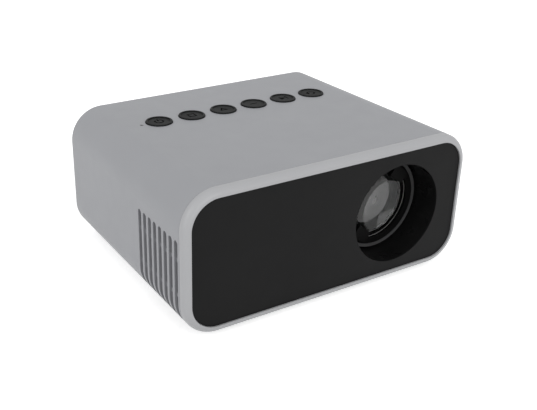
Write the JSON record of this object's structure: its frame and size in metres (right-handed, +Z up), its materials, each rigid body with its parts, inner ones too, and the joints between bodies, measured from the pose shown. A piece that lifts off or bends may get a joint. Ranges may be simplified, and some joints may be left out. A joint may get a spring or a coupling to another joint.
{
  "type": "mini led projector",
  "caption": "Small LED projector: grey sleeve housing, black front panel, recessed lens with focus ring, round keys on top, side vents and rear ports.",
  "frame": {"origin": "centre of the footprint, on the surface that the feet stand on", "axes": "+Z up; the lens looks along -Y; +X is on the right seen from the front, towards the lens"},
  "size_m": [0.127, 0.1, 0.0581],
  "materials": {
    "shell": "fine matt",
    "panel": "satin black",
    "inner_black": "matt",
    "key": "matt",
    "clear": "polished",
    "display": "polished",
    "silver": "front-silvered",
    "alloy": "milled",
    "phosphor": "satin",
    "foam": "open mesh",
    "board": "solder resist",
    "chip": "matt",
    "socket": "satin",
    "plated": "plated",
    "brass": "turned",
    "rubber": "matt",
    "ferrite": "ground",
    "cone": "pressed paper",
    "ribbon": "film",
    "lead": "insulation"
  },
  "bodies": {
    "case": {"av_jack": "chip", "base_cover": "inner_black", "board_parts": "chip", "board_screws": "plated", "board_sockets": "socket", "card_slot": "chip", "case_screws": "plated", "condenser_holder": "inner_black", "condenser_lens": "clear", "dust_filters": "foam", "engine_case": "inner_black", "engine_lid": "inner_black", "engine_screws": "plated", "fan_frame": "inner_black", "feet": "rubber", "focus_guide_screws": "plated", "fold_mirror": "silver", "front_bezel": "shell", "front_fresnel": "clear", "front_panel": "panel", "hdmi_port": "plated", "heat_glass": "clear", "heat_sink": "alloy", "housing": "shell", "ir_receiver": "inner_black", "ir_window": "display", "key_board": "board", "key_switches": "chip", "lamp_board": "alloy", "lamp_emitter": "phosphor", "lcd_panel": "display", "leads": "lead", "lens_holder": "panel", "light_pipe": "clear", "main_board": "board", "power_jack": "chip", "rear_fresnel": "clear", "rear_panel": "inner_black", "ribbons": "ribbon", "speaker_basket": "inner_black", "speaker_magnet": "ferrite", "tripod_insert": "brass", "usb_port": "plated"},
    "focus_ring": {"focus_ring": "panel"},
    "lens_cell": {"lens_barrel": "panel", "cam_pins": "plated", "lens_stop": "panel", "front_glass": "clear", "middle_glass": "clear", "rear_glass": "clear", "glass_spacer": "panel"},
    "fan_rotor": {"fan_rotor": "inner_black"},
    "speaker_cone": {"speaker_cone": "cone"},
    "power_key": {"power_key": "key"},
    "menu_key": {"menu_key": "key"},
    "up_key": {"up_key": "key"},
    "down_key": {"down_key": "key"},
    "play_key": {"play_key": "key"},
    "back_key": {"back_key": "key"}
  },
  "joints": [
    {"name": "focus_turn", "type": "hinge", "parent": "case", "child": "focus_ring", "pos_m": [0.0304, -0.025, 0.0289], "axis": [0, 1, 0], "range_deg": [-78, 12]},
    {"name": "lens_travel", "type": "slide", "parent": "case", "child": "lens_cell", "axis": [0, -1, 0], "range_m": [-0.0052, 0.0008]},
    {"name": "fan_spin", "type": "hinge", "parent": "case", "child": "fan_rotor", "pos_m": [-0.056, -0.03, 0.02925], "axis": [1, 0, 0], "continuous": true},
    {"name": "cone_stroke", "type": "slide", "parent": "case", "child": "speaker_cone", "axis": [0, 0, -1], "range_m": [-0.0005, 0.0005], "stiffness_N_per_m": 1500},
    {"name": "power_press", "type": "slide", "parent": "case", "child": "power_key", "axis": [0, 0, -1], "range_m": [0, 0.0004], "stiffness_N_per_m": 800, "springref_m": -0.0003},
    {"name": "menu_press", "type": "slide", "parent": "case", "child": "menu_key", "axis": [0, 0, -1], "range_m": [0, 0.0004], "stiffness_N_per_m": 800, "springref_m": -0.0003},
    {"name": "up_press", "type": "slide", "parent": "case", "child": "up_key", "axis": [0, 0, -1], "range_m": [0, 0.0004], "stiffness_N_per_m": 800, "springref_m": -0.0003},
    {"name": "down_press", "type": "slide", "parent": "case", "child": "down_key", "axis": [0, 0, -1], "range_m": [0, 0.0004], "stiffness_N_per_m": 800, "springref_m": -0.0003},
    {"name": "play_press", "type": "slide", "parent": "case", "child": "play_key", "axis": [0, 0, -1], "range_m": [0, 0.0004], "stiffness_N_per_m": 800, "springref_m": -0.0003},
    {"name": "back_press", "type": "slide", "parent": "case", "child": "back_key", "axis": [0, 0, -1], "range_m": [0, 0.0004], "stiffness_N_per_m": 800, "springref_m": -0.0003}
  ],
  "couplings": [
    {"joint": "focus_turn", "follows": "lens_travel", "rad_per_m": 261.8}
  ]
}
